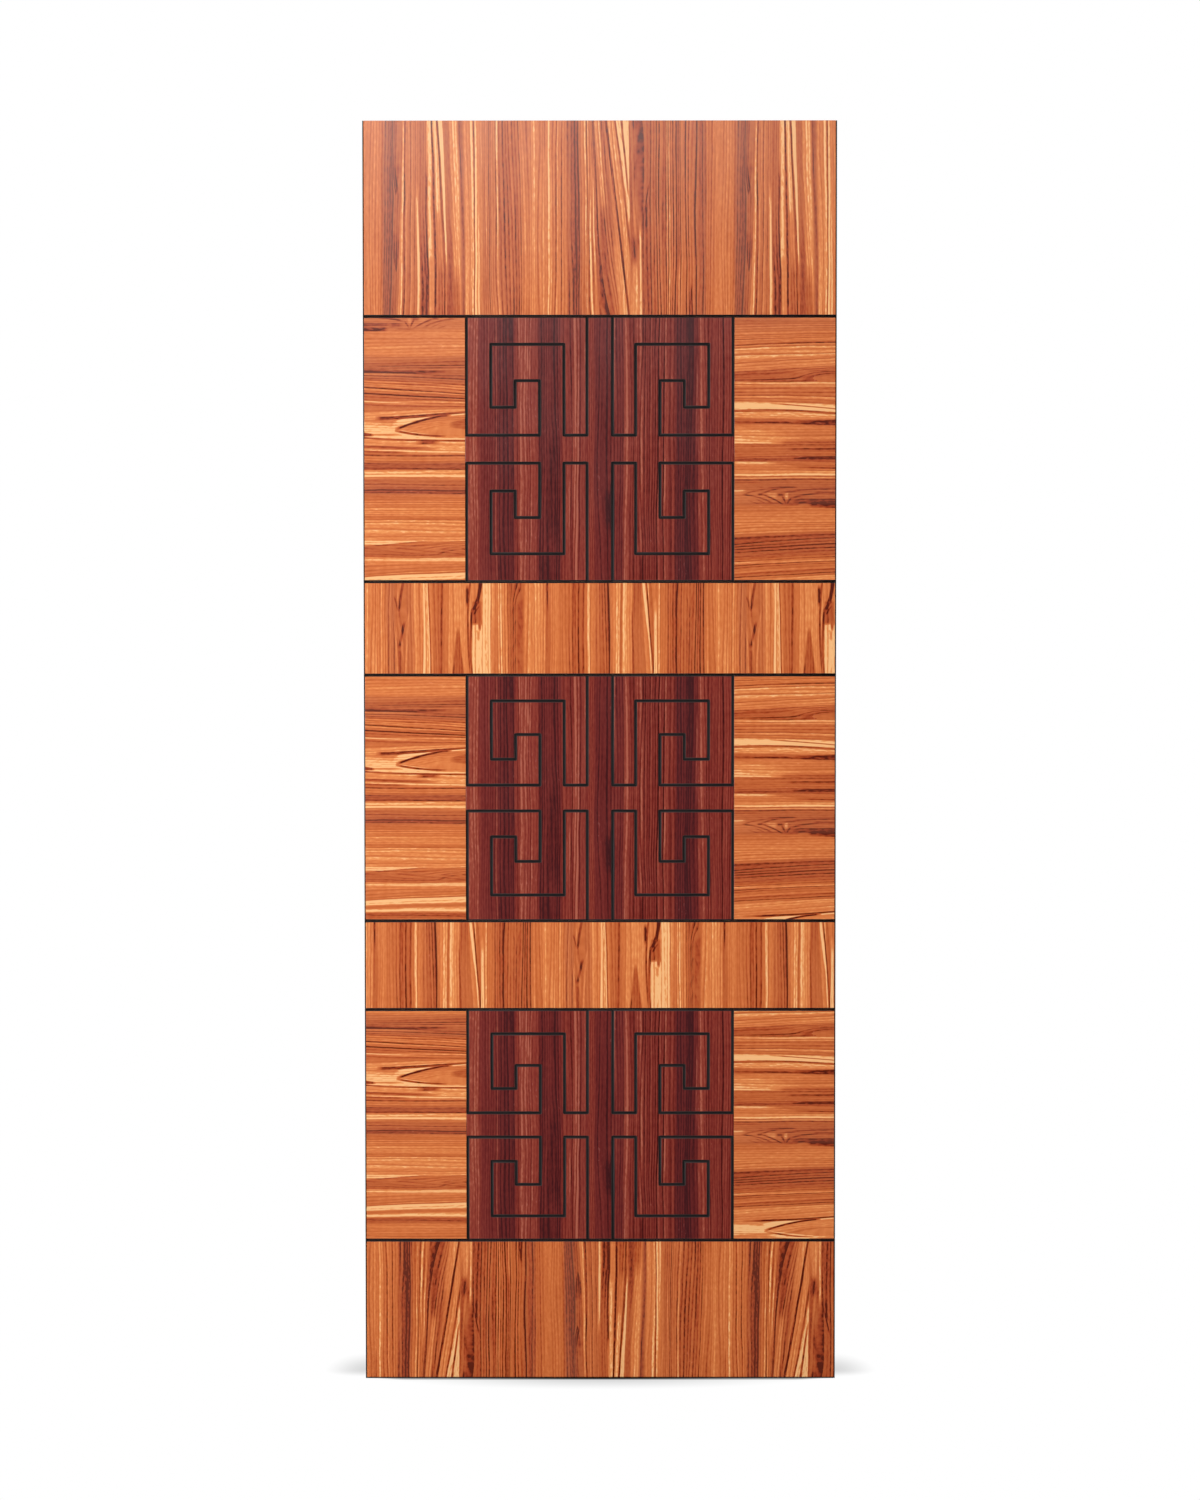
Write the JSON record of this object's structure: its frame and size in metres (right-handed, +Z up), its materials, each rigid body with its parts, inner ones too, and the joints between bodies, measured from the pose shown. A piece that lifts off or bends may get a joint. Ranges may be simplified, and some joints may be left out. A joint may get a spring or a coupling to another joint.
{
  "type": "wood-plastic composite door leaf",
  "caption": "Flat interior door leaf with light wood-print rails and side panels around dark panels routed with a meander fret, framed by black grooves.",
  "frame": {"origin": "middle of the hinge edge, on the outer face of its edge band", "axes": "+X across the width from the hinge edge to the lock edge, -Y out of the routed front, +Z up along the height"},
  "size_m": [0.762, 0.03, 2.032],
  "materials": {
    "light_film": "light teak printed film, semi-gloss",
    "dark_film": "dark rosewood printed film, semi-gloss, black matt paint in the grooves",
    "composite_board": "wood-plastic composite, sawn ends, light film on the back",
    "edge_band": "dark brown edge band, satin"
  },
  "bodies": {
    "root": {"leaf_board": "composite_board", "hinge_edge_band": "edge_band", "lock_edge_band": "edge_band", "top_rail": "light_film", "upper_left_panel": "light_film", "upper_fretwork_panel": "dark_film", "upper_right_panel": "light_film", "upper_lock_rail": "light_film", "middle_left_panel": "light_film", "middle_fretwork_panel": "dark_film", "middle_right_panel": "light_film", "lower_lock_rail": "light_film", "lower_left_panel": "light_film", "lower_fretwork_panel": "dark_film", "lower_right_panel": "light_film", "bottom_rail": "light_film"}
  },
  "joints": []
}
